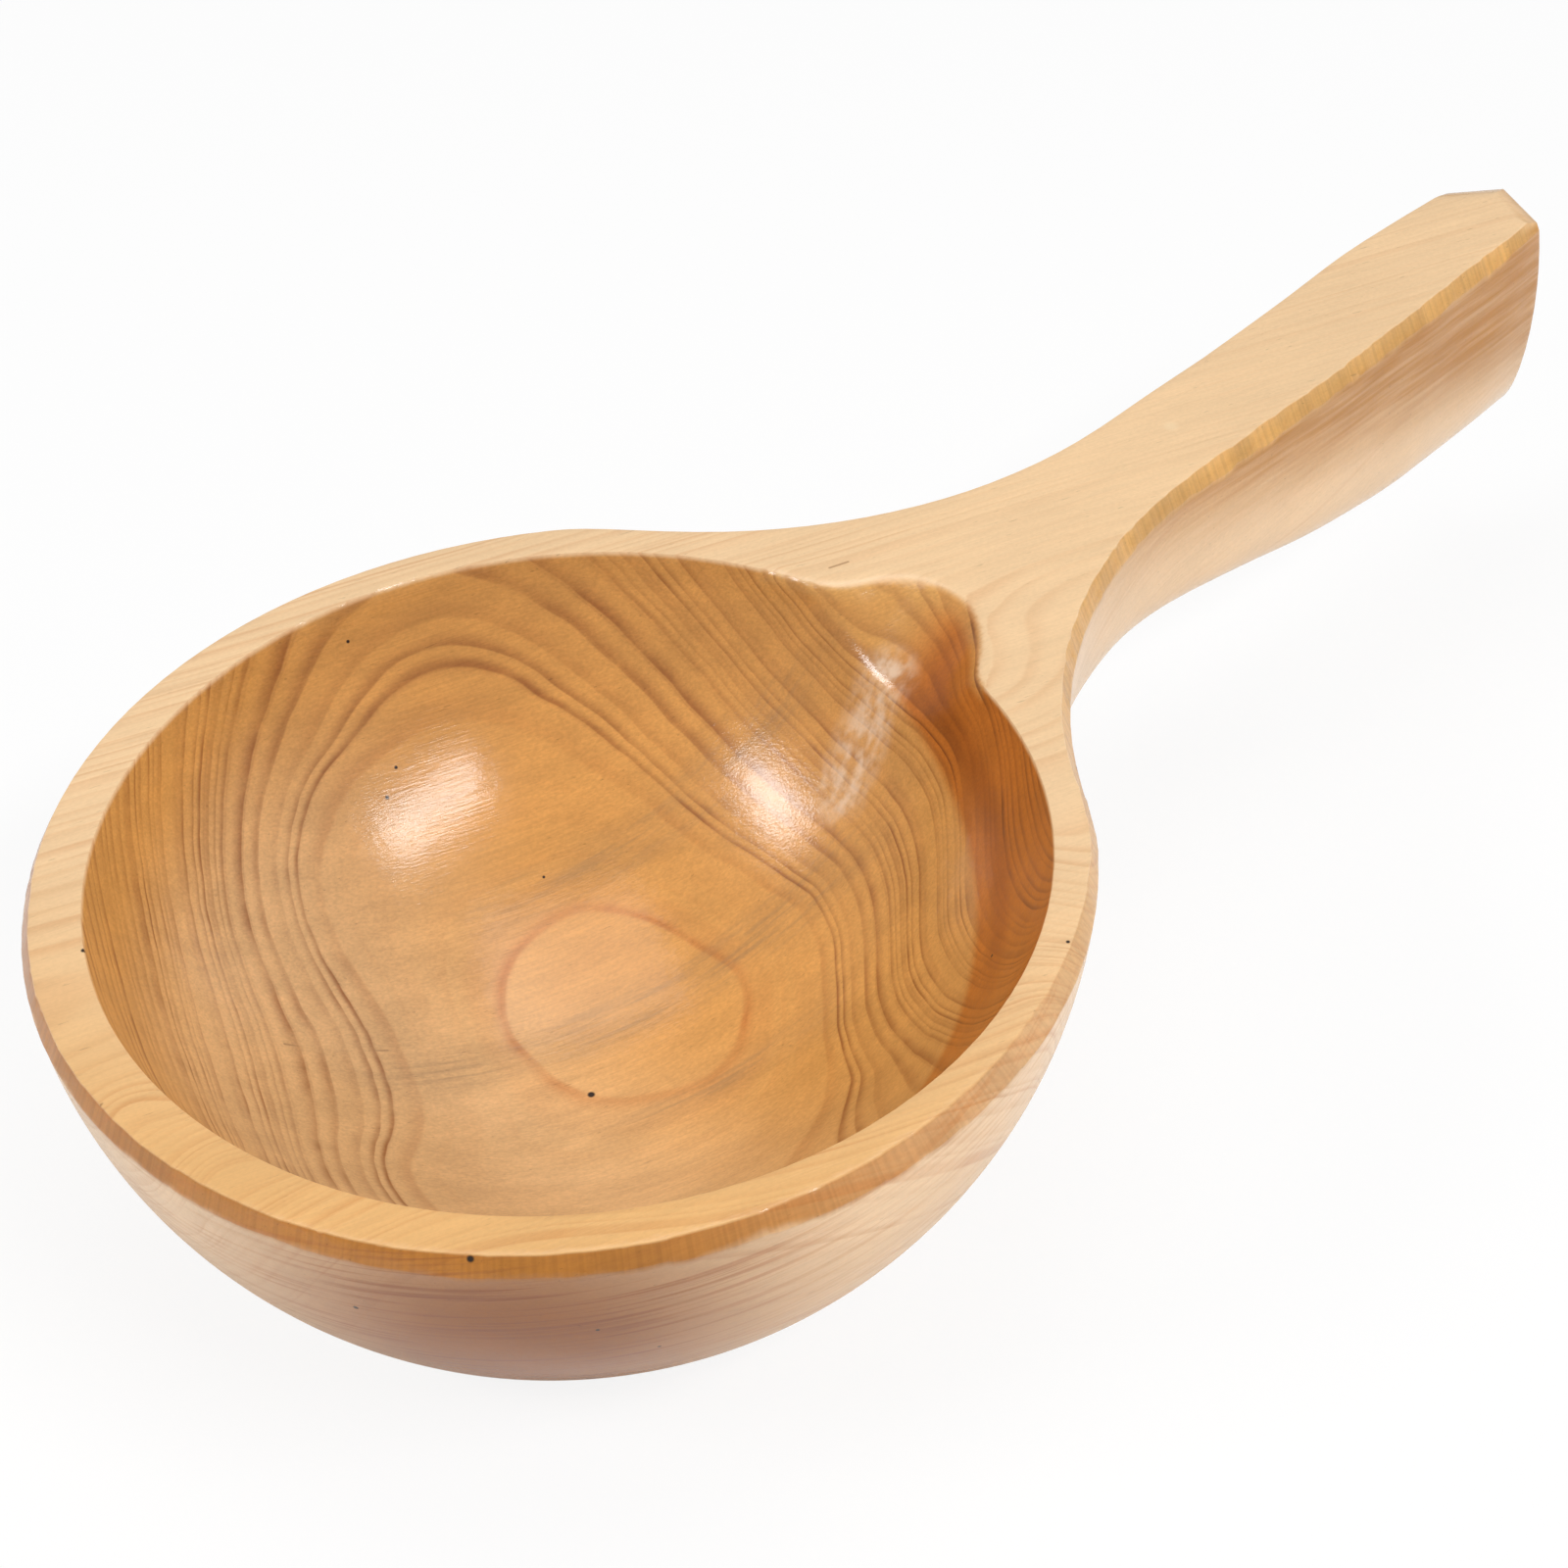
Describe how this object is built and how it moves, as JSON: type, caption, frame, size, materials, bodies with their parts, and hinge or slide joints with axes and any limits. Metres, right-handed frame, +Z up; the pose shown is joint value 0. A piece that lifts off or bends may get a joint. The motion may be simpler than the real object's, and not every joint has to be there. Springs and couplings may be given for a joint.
{
  "type": "sauna ladle",
  "caption": "One-piece carved wooden ladle: a round hollowed bowl with a flat rim, a gouged pouring notch on the handle side and a short straight handle in line with the rim.",
  "frame": {"origin": "middle of the flat foot under the bowl, at the level the ladle stands on", "axes": "X along the handle, from the bowl to the handle's end; Y to the left of the handle; Z up"},
  "size_m": [0.2901, 0.1418, 0.0633],
  "materials": {
    "honey_wood": "carved and smoothed solid wood under a clear glossy coat"
  },
  "bodies": {
    "root": {"ladle": "honey_wood"}
  },
  "joints": []
}
